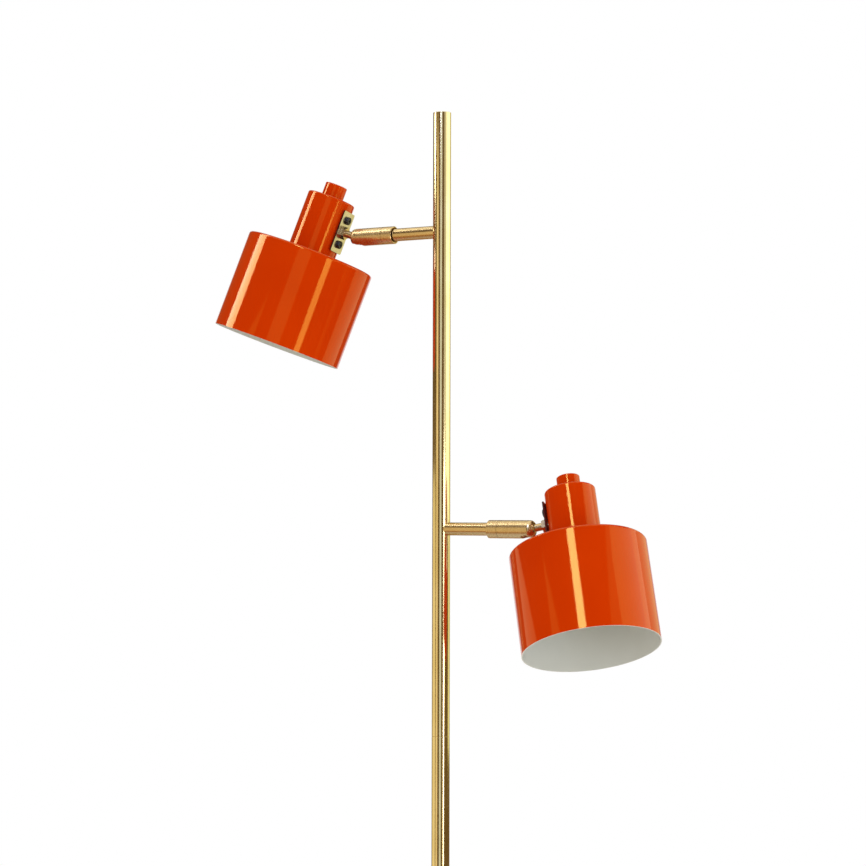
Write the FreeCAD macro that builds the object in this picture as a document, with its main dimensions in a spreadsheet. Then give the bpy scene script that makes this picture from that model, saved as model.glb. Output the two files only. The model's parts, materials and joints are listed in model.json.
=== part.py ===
"""Free-standing floor lamp with two swivelling spot heads on a slim brass pole.

Millimetres, +Z up. The origin is on the floor, under the middle of the round base.
The arms run along X: the upper head hangs on the -X side, the lower one on the +X side.

Three frames are used for the pieces of a head:
  arm frame   origin at the ball's centre, X outward along the arm, Z up, then rolled with the sleeve
  ball frame  the arm frame turned so that X runs along the ball's stem
  head frame  the ball frame turned about the stem, so that Z runs up the shade's own axis
A turned piece that lies along X is drawn along its body's Z and laid over by STAND_TO_X.
"""
import FreeCAD, Part
import math
import os
import re

from FreeCAD import Placement, Rotation, Vector

os.makedirs("parts", exist_ok=True)
doc = FreeCAD.newDocument("TwoHeadFloorLamp")
sheet = doc.addObject("Spreadsheet::Sheet", "Sizes")

# ---------------------------------------------------------------- driving dimensions
DRIVING = [
    ("fit_clearance", 0.05, "radial clearance of a piece that is pushed or screwed into another"),
    ("pole_dia", 18.0, "pole tubes, outside"),
    ("pole_wall", 1.0, "pole tubes, wall"),
    ("lower_tube_length", 622.4, "tube from the base to the joint"),
    ("upper_tube_length", 622.4, "tube from the joint to the top"),
    ("tube_edge", 0.3, "chamfer on the tubes' ends at the joint and the top"),
    ("joiner_length", 60.0, "spigot inside the pole's joint"),
    ("joiner_bore", 10.0, "hole for the leads through the spigot"),
    ("plug_length", 8.0, "plug in the pole's top"),
    ("base_dia", 270.0, "round base, outside"),
    ("pad_thickness", 2.0, "soft pad under the base"),
    ("pad_inset", 4.0, "pad's edge to the base's edge"),
    ("weight_thickness", 18.0, "cast disc in the base"),
    ("cover_wall", 1.2, "spun cover over the disc"),
    ("cover_gap", 0.3, "disc's edge to the inside of the cover's skirt"),
    ("cover_lift", 1.0, "skirt's lower edge above the floor"),
    ("cover_round", 5.0, "cover's top edge radius"),
    ("boss_dia", 30.0, "boss between base and pole"),
    ("boss_height", 4.0, "boss between base and pole"),
    ("boss_round", 1.5, "boss's top edge radius"),
    ("rod_dia", 10.0, "hollow threaded rod that holds the base"),
    ("rod_bore", 8.0, "hole for the leads through the rod"),
    ("rod_bite", 25.0, "length of rod inside the pole's foot"),
    ("foot_length", 30.0, "threaded insert in the pole's lower end"),
    ("recess_dia", 50.0, "recess under the disc"),
    ("recess_depth", 12.0, "recess and lead channel under the disc"),
    ("channel_width", 16.0, "lead channel under the disc"),
    ("washer_dia", 30.0, "washer on the rod"),
    ("washer_thickness", 2.0, "washer on the rod"),
    ("base_nut_flats", 17.0, "nut on the rod, across flats"),
    ("base_nut_height", 5.0, "nut on the rod"),
    ("block_length", 22.0, "terminal block"),
    ("block_width", 14.0, "terminal block"),
    ("block_height", 11.0, "terminal block"),
    ("block_distance", 40.0, "terminal block's inner end from the pole's axis"),
    ("inlet_bore", 6.6, "cord inlet bush, hole"),
    ("inlet_shank_dia", 8.8, "cord inlet bush, shank"),
    ("inlet_flange_dia", 13.0, "cord inlet bush, flange"),
    ("inlet_flange_thickness", 1.5, "cord inlet bush, flange"),
    ("inlet_shank_length", 10.0, "cord inlet bush, shank"),
    ("lead_dia", 3.2, "round lead inside pole and arms"),
    ("lead_spacing", 3.6, "distance between the two leads in the pole"),
    ("lead_bend", 10.0, "bend of a lead from pole to arm"),
    ("foot_bend", 5.0, "bend of a lead from the base channel into the rod"),
    ("channel_lead_level", 4.6, "leads in the base channel, above the floor"),
    ("lead_end_to_ball", 8.6, "arm lead's end to the ball's centre"),
    ("stud_lead_inset", 0.8, "end of the lead in the ball, below the ball's surface"),
    ("lead_hole_dia", 9.0, "hole in the pole behind each arm"),
    ("upper_arm_drop", 119.8, "pole's top to the upper arm's axis"),
    ("arm_spacing", 297.0, "upper arm's axis to the lower arm's"),
    ("arm_reach", 100.2, "pole's axis to the ball's centre"),
    ("arm_dia", 13.0, "arm tube, outside"),
    ("arm_wall", 1.0, "arm tube, wall"),
    ("arm_end_to_ball", 28.2, "arm tube's end to the ball's centre"),
    ("sleeve_dia", 18.0, "swivel sleeve and its ring, outside"),
    ("ring_start_to_ball", 44.7, "ring's open end to the ball's centre"),
    ("ring_length", 12.0, "ring, visible length"),
    ("ring_mouth_dia", 15.8, "ring's open end, where it stands clear of the arm"),
    ("ring_mouth_depth", 3.0, "ring's open end, where it stands clear of the arm"),
    ("ring_bore", 10.0, "ring's nose, hole for the lead"),
    ("ring_edge", 0.5, "chamfer on the ring's open end"),
    ("sleeve_end", 5.4, "sleeve's end past the ball's centre"),
    ("sleeve_round", 4.5, "sleeve's end, edge radius"),
    ("nose_end_to_ball", 19.2, "ring's nose end to the ball's centre"),
    ("seam_gap", 0.3, "gap between ring and sleeve"),
    ("turning_clearance", 0.1, "radial clearance where pieces turn on each other"),
    ("clip_thickness", 1.0, "snap ring that keeps the sleeve on the nose"),
    ("clip_outer_dia", 16.2, "snap ring, outside"),
    ("clip_inner_dia", 13.3, "snap ring, inside"),
    ("clip_gap", 4.0, "snap ring, gap"),
    ("clip_to_ball", 24.1, "snap ring's far face to the ball's centre"),
    ("clip_clearance", 0.1, "snap ring in its grooves"),
    ("ball_dia", 14.6, "swivel ball"),
    ("ball_clearance", 0.15, "ball in its socket, radial"),
    ("mouth_angle", 58.0, "socket's mouth, half angle at its inner edge"),
    ("mouth_outer_angle", 52.0, "socket's mouth, half angle at its outer edge"),
    ("slot_width", 11.5, "slot under the sleeve"),
    ("slot_reach", 8.4, "slot's rounded root behind the ball's centre"),
    ("cup_front", 4.5, "friction cup's rim behind the ball's centre"),
    ("cup_back", 13.0, "friction cup's back behind the ball's centre"),
    ("cup_bore", 4.8, "friction cup's hole"),
    ("spring_count", 4, "disc springs between cup and nose"),
    ("spring_outer_dia", 14.0, "disc spring"),
    ("spring_inner_dia", 8.0, "disc spring"),
    ("spring_sheet", 0.8, "disc spring, sheet"),
    ("stem_dia", 7.5, "ball's stem"),
    ("stem_shoulder", 13.8, "stem's shoulder from the ball's centre"),
    ("stud_thread_dia", 6.0, "stem's threaded end"),
    ("stud_bore", 3.4, "hole through ball and stem"),
    ("stud_lead_dia", 2.8, "lead through the ball and inside the neck"),
    ("stud_nut_flats", 11.5, "nuts on the stem, across flats"),
    ("outer_nut_height", 4.8, "nut between stem and plate"),
    ("inner_nut_height", 3.0, "nut inside the neck"),
    ("stud_end_spare", 0.7, "stem's end past the inner nut"),
    ("plate_width", 22.0, "bracket plate"),
    ("plate_height", 43.4, "bracket plate"),
    ("plate_thickness", 1.3, "bracket plate"),
    ("plate_corner", 1.5, "bracket plate, corner radius"),
    ("plate_gap", 0.05, "plate's back to the neck's nearest line"),
    ("screw_spacing", 26.0, "two screws through the plate"),
    ("screw_dia", 4.0, "plate screw, thread"),
    ("screw_head_dia", 8.2, "plate screw, head"),
    ("screw_head_height", 3.0, "plate screw, head"),
    ("screw_head_round", 1.0, "plate screw, head's edge radius"),
    ("cross_length", 4.6, "screw's cross recess"),
    ("cross_width", 0.9, "screw's cross recess"),
    ("cross_depth", 1.2, "screw's cross recess"),
    ("hole_clearance", 0.15, "radial clearance of a fastener's through hole"),
    ("strip_width", 14.0, "backing strip inside the neck"),
    ("strip_height", 36.0, "backing strip inside the neck"),
    ("strip_thickness", 1.5, "backing strip inside the neck"),
    ("strip_gap", 0.1, "strip's edges to the inside of the neck"),
    ("screw_end_spare", 2.3, "screw's end past the strip"),
    ("shoulder_drop", 31.0, "drum's top below the ball's centre"),
    ("drum_dia", 134.2, "shade's drum, outside"),
    ("drum_height", 101.5, "shade's drum"),
    ("neck_dia", 50.2, "shade's neck, outside"),
    ("neck_height", 61.2, "shade's neck"),
    ("shade_wall", 1.0, "spun shade, sheet"),
    ("shoulder_round", 2.5, "drum's top edge, outside"),
    ("neck_root_round", 1.6, "fillet between drum and neck"),
    ("neck_top_round", 1.8, "neck's top edge, outside"),
    ("knob_dia", 22.9, "switch knob"),
    ("knob_height", 14.0, "switch knob"),
    ("knob_gap", 0.3, "knob above the neck"),
    ("knob_round", 0.8, "knob's top edge radius"),
    ("knob_recess_dia", 17.6, "hollow under the knob"),
    ("knob_recess_depth", 6.0, "hollow under the knob"),
    ("spindle_dia", 5.0, "switch spindle"),
    ("spindle_bite", 6.5, "spindle inside the knob"),
    ("spindle_reach", 14.0, "spindle below the neck's top, inside the switch"),
    ("bush_dia", 10.0, "lampholder's threaded bush"),
    ("bush_height", 4.5, "bush above the neck's top"),
    ("bush_nut_flats", 14.0, "nut on the bush, across flats"),
    ("bush_nut_height", 2.5, "nut on the bush"),
    ("switch_dia", 36.0, "switch housing on top of the lampholder"),
    ("switch_height", 21.2, "switch housing on top of the lampholder"),
    ("holder_dia", 26.0, "lampholder's barrel"),
    ("holder_length", 46.0, "lampholder's barrel"),
    ("holder_cavity_dia", 16.4, "hollow for the bulb's cap"),
    ("holder_cavity_depth", 28.0, "hollow for the bulb's cap"),
    ("shell_wall", 0.8, "brass screw shell"),
    ("shell_gap", 0.2, "screw shell to the lampholder"),
    ("shell_inset", 2.0, "screw shell's lower end above the holder's rim"),
    ("shell_length", 23.0, "brass screw shell"),
    ("contact_dia", 5.0, "centre contact"),
    ("contact_height", 2.2, "centre contact"),
    ("contact_gap", 0.2, "centre contact to the bulb's tip"),
    ("cap_dia", 13.9, "bulb's screw cap"),
    ("cap_length", 21.7, "bulb's screw cap"),
    ("tip_dia", 4.8, "bulb's tip contact"),
    ("tip_height", 2.1, "bulb's tip contact"),
    ("globe_dia", 45.0, "bulb's globe"),
    ("globe_drop", 30.3, "globe's centre below the cap"),
    ("globe_wall", 1.0, "bulb's glass"),
    ("globe_neck_dia", 15.2, "bulb's glass neck"),
    ("globe_neck_length", 4.0, "bulb's straight glass neck"),
    ("globe_cone_dia", 28.0, "bulb's glass where the cone meets the globe"),
    ("globe_cone_length", 10.0, "bulb's glass cone"),
    ("globe_bore", 12.0, "hollow of the glass neck at the cap"),
    ("head_lead_bend", 3.0, "bend of the lead inside the neck"),
    ("head_lead_offset", 30.0, "lead inside the neck, from the ball's centre"),
    ("upper_roll", 0.0, "upper sleeve turned about its arm"),
    ("upper_tilt", 18.6, "upper stem raised from the arm's axis"),
    ("upper_side", 3.6, "upper stem sideways from the slot's plane"),
    ("upper_spin", 9.7, "upper head turned about the stem"),
    ("lower_roll", -10.0, "lower sleeve turned about its arm"),
    ("lower_tilt", 15.2, "lower stem raised from the arm's axis"),
    ("lower_side", 12.6, "lower stem sideways from the slot's plane"),
    ("lower_spin", -5.5, "lower head turned about the stem"),
]

# ---------------------------------------------------------------- places that follow from them
DERIVED = [
    ("pole_radius", "pole_dia / 2"),
    ("pole_bore_radius", "pole_dia / 2 - pole_wall"),
    ("weight_top", "pad_thickness + weight_thickness"),
    ("cover_top", "weight_top + cover_wall"),
    ("pole_bottom", "cover_top + boss_height"),
    ("joint_level", "pole_bottom + lower_tube_length"),
    ("pole_top", "joint_level + upper_tube_length"),
    ("upper_arm_level", "pole_top - upper_arm_drop"),
    ("lower_arm_level", "upper_arm_level - arm_spacing"),
    ("cover_radius", "base_dia / 2"),
    ("weight_radius", "cover_radius - cover_wall - cover_gap"),
    ("recess_top", "pad_thickness + recess_depth"),
    ("nut_top", "recess_top - washer_thickness"),
    ("nut_bottom", "nut_top - base_nut_height"),
    ("inlet_level", "pad_thickness + recess_depth / 2"),
    ("rod_hole_radius", "rod_dia / 2 + hole_clearance"),
    ("sleeve_radius", "sleeve_dia / 2"),
    ("socket_radius", "ball_dia / 2 + ball_clearance"),
    ("nose_radius", "socket_radius - turning_clearance"),
    ("seam_to_ball", "ring_start_to_ball - ring_length"),
    ("arm_bore_in_ring", "arm_dia / 2 + fit_clearance"),
    ("groove_far", "clip_to_ball + clip_clearance"),
    ("groove_near", "clip_to_ball - clip_thickness - clip_clearance"),
    ("mouth_inner_radius", "socket_radius * sin(mouth_angle)"),
    ("mouth_inner_place", "socket_radius * cos(mouth_angle)"),
    ("mouth_outer_radius", "sleeve_radius * sin(mouth_outer_angle)"),
    ("mouth_outer_place", "sleeve_radius * cos(mouth_outer_angle)"),
    ("mouth_slope", "(mouth_outer_radius - mouth_inner_radius) / (mouth_outer_place - mouth_inner_place)"),
    ("plate_front", "stem_shoulder + outer_nut_height"),
    ("nut_face", "stem_shoulder + turning_clearance"),
    ("screw_head_face", "plate_front - screw_head_height"),
    ("cross_floor", "screw_head_face + cross_depth"),
    ("plate_back", "plate_front + plate_thickness"),
    ("neck_radius", "neck_dia / 2"),
    ("neck_bore_radius", "neck_radius - shade_wall"),
    ("strip_edge_depth", "neck_bore_radius - sqrt(neck_bore_radius * neck_bore_radius"
                         " - strip_width * strip_width / 4)"),
    ("neck_face", "plate_back + plate_gap"),
    ("neck_axis_to_ball", "neck_face + neck_radius"),
    ("strip_front", "neck_face + shade_wall + strip_edge_depth + strip_gap"),
    ("strip_back", "strip_front + strip_thickness"),
    ("inner_nut_end", "strip_back + inner_nut_height"),
    ("stud_end", "inner_nut_end + stud_end_spare"),
    ("shoulder", "-shoulder_drop"),
    ("opening", "shoulder - drum_height"),
    ("neck_top", "shoulder + neck_height"),
    ("neck_ceiling", "neck_top - shade_wall"),
    ("knob_bottom", "neck_top + knob_gap"),
    ("knob_floor", "knob_bottom + knob_recess_depth"),
    ("switch_bottom", "neck_ceiling - switch_height"),
    ("holder_rim", "switch_bottom - holder_length"),
    ("cavity_top", "holder_rim + holder_cavity_depth"),
    ("shell_bottom", "holder_rim + shell_inset"),
    ("shell_radius", "holder_cavity_dia / 2 - shell_gap"),
    ("tip_top", "cavity_top - contact_height - contact_gap"),
    ("cap_top", "tip_top - tip_height"),
    ("cap_bottom", "cap_top - cap_length"),
    ("glass_neck_end", "cap_bottom - globe_neck_length"),
    ("glass_cone_end", "glass_neck_end - globe_cone_length"),
    ("globe_centre", "cap_bottom - globe_drop"),
]

for row, (alias, number, note) in enumerate(DRIVING, start=1):
    sheet.set("A%d" % row, note)
    sheet.set("B%d" % row, str(number))
    sheet.setAlias("B%d" % row, alias)
for row, (alias, rule) in enumerate(DERIVED, start=len(DRIVING) + 2):
    sheet.set("B%d" % row, "=" + rule)
    sheet.setAlias("B%d" % row, alias)
doc.recompute()

ALIASES = {entry[0] for entry in DRIVING + DERIVED}
STAND_TO_X = Placement(Vector(0, 0, 0), Rotation(Vector(0, 1, 0), 90))
TURNS = {
    "z": Rotation(),
    "x": Rotation(Vector(0, 1, 0), 90),
    "y": Rotation(Vector(1, 0, 0), -90),
}
SUBPARTS = []


def size(alias):
    """The sheet's present value."""
    return float(sheet.get(alias))


def formula(text):
    """An expression in which each alias is looked up in the sheet."""
    return re.sub(r"[a-z][a-z0-9_]+", lambda word: "Sizes." + word.group()
                  if word.group() in ALIASES else word.group(), text)


# ---------------------------------------------------------------- modelling helpers
def body(label):
    """An empty body that becomes one sub-part."""
    made = doc.addObject("PartDesign::Body", label)
    made.Label = label
    if hasattr(made, "AllowCompound"):
        made.AllowCompound = True
    SUBPARTS.append(made)
    return made


def feature(owner, kind, place, turn, sizes):
    """One primitive in a body, with its sizes and place bound to the sheet."""
    item = owner.newObject("PartDesign::" + kind, owner.Label + "_step")
    item.Placement = Placement(Vector(0, 0, 0), turn)
    for prop, text in sizes.items():
        item.setExpression(prop, formula(text))
    for axis, text in zip("xyz", place):
        item.setExpression("Placement.Base." + axis, formula(text))
    return item


def run_place(axis, low, across):
    """Where a run along an axis starts: across gives the other two coordinates."""
    if axis == "z":
        return (across[0], across[1], low)
    if axis == "x":
        return (low, across[0], across[1])
    return (across[0], low, across[1])


def rod(owner, radius, low, high, axis="z", across=("0", "0"), cut=False):
    """A cylinder from low to high along an axis."""
    kind = "SubtractiveCylinder" if cut else "AdditiveCylinder"
    height = "(%s) - (%s)" % (high, low)
    place = run_place(axis, low, across)
    return feature(owner, kind, place, TURNS[axis], {"Radius": radius, "Height": height})


def cone(owner, low_radius, high_radius, low, high, cut=False):
    """A cone along Z."""
    kind = "SubtractiveCone" if cut else "AdditiveCone"
    sizes = {"Radius1": low_radius, "Radius2": high_radius, "Height": "(%s) - (%s)" % (high, low)}
    return feature(owner, kind, ("0", "0", low), TURNS["z"], sizes)


def ball(owner, radius, centre="0", cut=False):
    """A sphere on the Z axis."""
    kind = "SubtractiveSphere" if cut else "AdditiveSphere"
    return feature(owner, kind, ("0", "0", centre), TURNS["z"], {"Radius": radius})


def hexagon(owner, flats, low, high):
    """A hexagonal prism along Z, given across its flats."""
    made = feature(owner, "AdditivePrism", ("0", "0", low), TURNS["z"],
                   {"Circumradius": "(%s) / 2 / cos(30)" % flats, "Height": "(%s) - (%s)" % (high, low)})
    made.Polygon = 6
    return made


def block(owner, low, high, cut=False):
    """A box between two corners."""
    kind = "SubtractiveBox" if cut else "AdditiveBox"
    sizes = {}
    for prop, start, end in zip(("Length", "Width", "Height"), low, high):
        sizes[prop] = "(%s) - (%s)" % (end, start)
    return feature(owner, kind, low, TURNS["z"], sizes)


def is_ring(edge, radius, level):
    """Whether an edge is a circle about the body's Z axis."""
    curve = edge.Curve
    if not isinstance(curve, Part.Circle):
        return False
    centre = curve.Center
    on_axis = math.hypot(centre.x, centre.y) < 1e-4 and abs(abs(curve.Axis.z) - 1) < 1e-6
    return on_axis and abs(curve.Radius - radius) < 1e-4 and abs(centre.z - level) < 1e-4


def is_upright(edge, reach):
    """Whether an edge runs along Z at least that far from the Z axis."""
    if not isinstance(edge.Curve, Part.Line):
        return False
    start, end = (vertex.Point for vertex in edge.Vertexes)
    upright = abs(start.x - end.x) < 1e-6 and abs(start.y - end.y) < 1e-6
    return upright and math.hypot(start.x, start.y) > reach


def dress(owner, kind, amount, chosen):
    """A fillet or a chamfer on the edges that pass a test."""
    doc.recompute()
    base = owner.Tip
    names = ["Edge%d" % (index + 1) for index, edge in enumerate(base.Shape.Edges) if chosen(edge)]
    if not names:
        raise ValueError("no edge to round on " + owner.Label)
    item = owner.newObject("PartDesign::" + kind, owner.Label + "_edge")
    item.Base = (base, names)
    item.setExpression("Radius" if kind == "Fillet" else "Size", formula(amount))
    base.Visibility = False
    return item


def round_ring(owner, amount, radius, level):
    """A fillet on one circular edge."""
    dress(owner, "Fillet", amount, lambda edge: is_ring(edge, radius, level))


def chamfer_ring(owner, amount, radius, level):
    """A chamfer on one circular edge."""
    dress(owner, "Chamfer", amount, lambda edge: is_ring(edge, radius, level))


def shaped(label, shape, place):
    """A sub-part whose shape comes from curves that no primitive gives."""
    made = doc.addObject("Part::Feature", label)
    made.Label = label
    made.Shape = shape
    made.Placement = place
    SUBPARTS.append(made)
    return made


def swept_lead(points, bends, radius):
    """A round lead along straight runs that are joined by tangent arcs."""
    edges = []
    start = points[0]
    for index, bend in enumerate(bends, start=1):
        corner = points[index]
        back = (points[index - 1] - corner).normalize()
        ahead = (points[index + 1] - corner).normalize()
        half_turn = (math.pi - back.getAngle(ahead)) / 2
        reach = bend * math.tan(half_turn)
        enter = corner + back * reach
        leave = corner + ahead * reach
        inward = (back + ahead).normalize()
        middle = corner + inward * (bend / math.cos(half_turn) - bend)
        edges.append(Part.LineSegment(start, enter).toShape())
        edges.append(Part.Arc(enter, middle, leave).toShape())
        start = leave
    edges.append(Part.LineSegment(start, points[-1]).toShape())
    path = Part.Wire(edges)
    section = Part.Wire([Part.makeCircle(radius, points[0], points[1] - points[0])])
    pipe = path.makePipeShell([section], True, False)
    return pipe


# ---------------------------------------------------------------- base
def make_base():
    """Pad, cast disc, spun cover, boss, and the rod that clamps them to the pole."""
    pad = body("base_pad")
    rod(pad, "cover_radius - pad_inset", "0", "pad_thickness")

    weight = body("base_weight")
    rod(weight, "weight_radius", "pad_thickness", "weight_top")
    round_ring(weight, "cover_round - cover_wall + cover_gap", size("weight_radius"), size("weight_top"))
    rod(weight, "recess_dia / 2", "pad_thickness", "recess_top", cut=True)
    rod(weight, "rod_hole_radius", "pad_thickness", "weight_top", cut=True)
    block(weight, ("-channel_width / 2", "0", "pad_thickness"),
          ("channel_width / 2", "weight_radius", "recess_top"), cut=True)

    cover = body("base_cover")
    rod(cover, "cover_radius", "cover_lift", "cover_top")
    rod(cover, "cover_radius - cover_wall", "cover_lift", "weight_top", cut=True)
    inside = size("cover_radius") - size("cover_wall")
    round_ring(cover, "cover_round - cover_wall", inside, size("weight_top"))
    round_ring(cover, "cover_round", size("cover_radius"), size("cover_top"))
    rod(cover, "rod_hole_radius", "weight_top", "cover_top", cut=True)
    rod(cover, "inlet_shank_dia / 2 + fit_clearance", "cover_radius - 2 * cover_wall", "cover_radius",
        axis="y", across=("0", "inlet_level"), cut=True)

    boss = body("base_boss")
    rod(boss, "boss_dia / 2", "cover_top", "pole_bottom")
    round_ring(boss, "boss_round", size("boss_dia") / 2, size("pole_bottom"))
    rod(boss, "rod_hole_radius", "cover_top", "pole_bottom", cut=True)

    threaded = body("base_rod")
    rod(threaded, "rod_dia / 2", "nut_bottom", "pole_bottom + rod_bite")
    rod(threaded, "rod_bore / 2", "nut_bottom", "pole_bottom + rod_bite", cut=True)

    washer = body("base_washer")
    rod(washer, "washer_dia / 2", "nut_top", "recess_top")
    rod(washer, "rod_hole_radius", "nut_top", "recess_top", cut=True)

    nut = body("base_nut")
    hexagon(nut, "base_nut_flats", "nut_bottom", "nut_top")
    rod(nut, "rod_dia / 2 + fit_clearance", "nut_bottom", "nut_top", cut=True)

    terminal = body("terminal_block")
    block(terminal, ("-block_width / 2", "block_distance", "recess_top - block_height"),
          ("block_width / 2", "block_distance + block_length", "recess_top"))

    bush = body("cord_bush")
    rod(bush, "inlet_shank_dia / 2", "cover_radius - inlet_shank_length", "cover_radius",
        axis="y", across=("0", "inlet_level"))
    rod(bush, "inlet_flange_dia / 2", "cover_radius", "cover_radius + inlet_flange_thickness",
        axis="y", across=("0", "inlet_level"))
    rod(bush, "inlet_bore / 2", "cover_radius - inlet_shank_length", "cover_radius + inlet_flange_thickness",
        axis="y", across=("0", "inlet_level"), cut=True)


# ---------------------------------------------------------------- pole and arms
def tube(label, outer, bore, low, high):
    """A plain tube along Z."""
    made = body(label)
    rod(made, outer, low, high)
    rod(made, bore, low, high, cut=True)
    return made


def make_pole():
    """Two equal tubes, the foot and spigot inside them, and the plug in the top."""
    lower = tube("lower_tube", "pole_radius", "pole_bore_radius", "pole_bottom", "joint_level")
    upper = tube("upper_tube", "pole_radius", "pole_bore_radius", "joint_level", "pole_top")
    for owner, level in ((lower, "joint_level"), (upper, "joint_level"), (upper, "pole_top")):
        chamfer_ring(owner, "tube_edge", size("pole_radius"), size(level))
    rod(upper, "lead_hole_dia / 2", "0", "pole_dia", axis="x", across=("0", "lower_arm_level"), cut=True)
    rod(upper, "lead_hole_dia / 2", "-pole_dia", "0", axis="x", across=("0", "upper_arm_level"), cut=True)
    tube("pole_foot", "pole_bore_radius - fit_clearance", "rod_dia / 2 + fit_clearance",
         "pole_bottom", "pole_bottom + foot_length")
    tube("pole_joiner", "pole_bore_radius - fit_clearance", "joiner_bore / 2",
         "joint_level - joiner_length / 2", "joint_level + joiner_length / 2")
    plug = body("pole_plug")
    rod(plug, "pole_bore_radius - fit_clearance", "pole_top - plug_length", "pole_top")


def make_arm(side, outward):
    """The arm tube, saddle-cut to the pole, with its ring and the lead inside it."""
    root = Placement(Vector(0, 0, size(side + "_arm_level")), Rotation(Vector(0, 0, 1), outward))

    arm = body(side + "_arm")
    rod(arm, "arm_dia / 2", "0", "arm_reach - arm_end_to_ball")
    rod(arm, "arm_dia / 2 - arm_wall", "0", "arm_reach - arm_end_to_ball", cut=True)
    rod(arm, "pole_radius + fit_clearance", "-pole_dia", "pole_dia", axis="x", cut=True)
    arm.Placement = root * STAND_TO_X

    ring = body(side + "_sleeve_ring")
    rod(ring, "sleeve_radius", "arm_reach - ring_start_to_ball", "arm_reach - seam_to_ball")
    chamfer_ring(ring, "ring_edge", size("sleeve_radius"), size("arm_reach") - size("ring_start_to_ball"))
    rod(ring, "nose_radius", "arm_reach - seam_to_ball", "arm_reach - groove_far")
    rod(ring, "clip_inner_dia / 2 - clip_clearance", "arm_reach - groove_far", "arm_reach - groove_near")
    rod(ring, "nose_radius", "arm_reach - groove_near", "arm_reach - nose_end_to_ball")
    rod(ring, "arm_bore_in_ring", "arm_reach - ring_start_to_ball", "arm_reach - arm_end_to_ball", cut=True)
    rod(ring, "ring_bore / 2", "arm_reach - arm_end_to_ball", "arm_reach - nose_end_to_ball", cut=True)
    rod(ring, "ring_mouth_dia / 2", "arm_reach - ring_start_to_ball",
        "arm_reach - ring_start_to_ball + ring_mouth_depth", cut=True)
    ring.Placement = root * STAND_TO_X

    mirror = -1 if outward else 1
    beside = mirror * size("lead_spacing") / 2
    points = [
        Vector(beside, size("block_distance"), size("channel_lead_level")),
        Vector(beside, 0, size("channel_lead_level")),
        Vector(beside, 0, size(side + "_arm_level")),
        Vector(mirror * (size("arm_reach") - size("lead_end_to_ball")), 0, size(side + "_arm_level")),
    ]
    lead = swept_lead(points, [size("foot_bend"), size("lead_bend")], size("lead_dia") / 2)
    shaped(side + "_arm_lead", lead, Placement())


# ---------------------------------------------------------------- swivel
def disc_springs():
    """Disc springs stacked point to point between the ring's nose and the friction cup."""
    pitch = (size("nose_end_to_ball") - size("cup_back")) / size("spring_count")
    inner = size("spring_inner_dia") / 2
    outer = size("spring_outer_dia") / 2
    sheet_thickness = size("spring_sheet")
    rise = pitch - sheet_thickness - size("fit_clearance")
    springs = []
    for index in range(int(size("spring_count"))):
        low = index * pitch - size("nose_end_to_ball")
        inner_low, outer_low = (low + rise, low) if index % 2 else (low, low + rise)
        corners = [
            Vector(inner, 0, inner_low),
            Vector(outer, 0, outer_low),
            Vector(outer, 0, outer_low + sheet_thickness),
            Vector(inner, 0, inner_low + sheet_thickness),
        ]
        face = Part.Face(Part.makePolygon(corners + corners[:1]))
        springs.append(face.revolve(Vector(0, 0, 0), Vector(0, 0, 1), 360))
    return Part.Compound(springs)


def make_swivel(side, arm_frame, ball_frame):
    """The sleeve that turns on the ring, and the ball that is clamped inside it."""
    lying = arm_frame * STAND_TO_X

    sleeve = body(side + "_sleeve")
    rod(sleeve, "sleeve_radius", "seam_gap - seam_to_ball", "sleeve_end")
    round_ring(sleeve, "sleeve_round", size("sleeve_radius"), size("sleeve_end"))
    rod(sleeve, "socket_radius", "seam_gap - seam_to_ball", "0", cut=True)
    ball(sleeve, "socket_radius", cut=True)
    cone(sleeve, "mouth_inner_radius - mouth_slope * mouth_inner_place / 2",
         "mouth_inner_radius + mouth_slope * (sleeve_radius - mouth_inner_place)",
         "mouth_inner_place / 2", "sleeve_radius", cut=True)
    rod(sleeve, "slot_width / 2", "0", "sleeve_dia", axis="x",
        across=("0", "slot_width / 2 - slot_reach"), cut=True)
    block(sleeve, ("0", "-slot_width / 2", "slot_width / 2 - slot_reach"),
          ("sleeve_dia", "slot_width / 2", "sleeve_radius"), cut=True)
    rod(sleeve, "clip_outer_dia / 2 + clip_clearance", "-groove_far", "-groove_near", cut=True)
    sleeve.Placement = lying

    clip = body(side + "_sleeve_clip")
    rod(clip, "clip_outer_dia / 2", "-clip_to_ball", "clip_thickness - clip_to_ball")
    rod(clip, "clip_inner_dia / 2", "-clip_to_ball", "clip_thickness - clip_to_ball", cut=True)
    block(clip, ("-clip_outer_dia", "-clip_gap / 2", "-clip_to_ball"),
          ("0", "clip_gap / 2", "clip_thickness - clip_to_ball"), cut=True)
    clip.Placement = lying

    shaped(side + "_disc_springs", disc_springs(), lying)

    cup = body(side + "_friction_cup")
    rod(cup, "nose_radius", "-cup_back", "-cup_front")
    ball(cup, "socket_radius", cut=True)
    rod(cup, "cup_bore / 2", "-cup_back", "-cup_front", cut=True)
    cup.Placement = lying

    stud = body(side + "_ball_stud")
    ball(stud, "ball_dia / 2")
    rod(stud, "stem_dia / 2", "0", "stem_shoulder")
    rod(stud, "stud_thread_dia / 2", "stem_shoulder", "stud_end")
    rod(stud, "stud_bore / 2", "-ball_dia / 2", "stud_end", cut=True)
    stud.Placement = ball_frame * STAND_TO_X

    lead = body(side + "_stud_lead")
    rod(lead, "stud_lead_dia / 2", "stud_lead_inset - ball_dia / 2", "plate_back - turning_clearance")
    lead.Placement = ball_frame * STAND_TO_X


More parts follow.
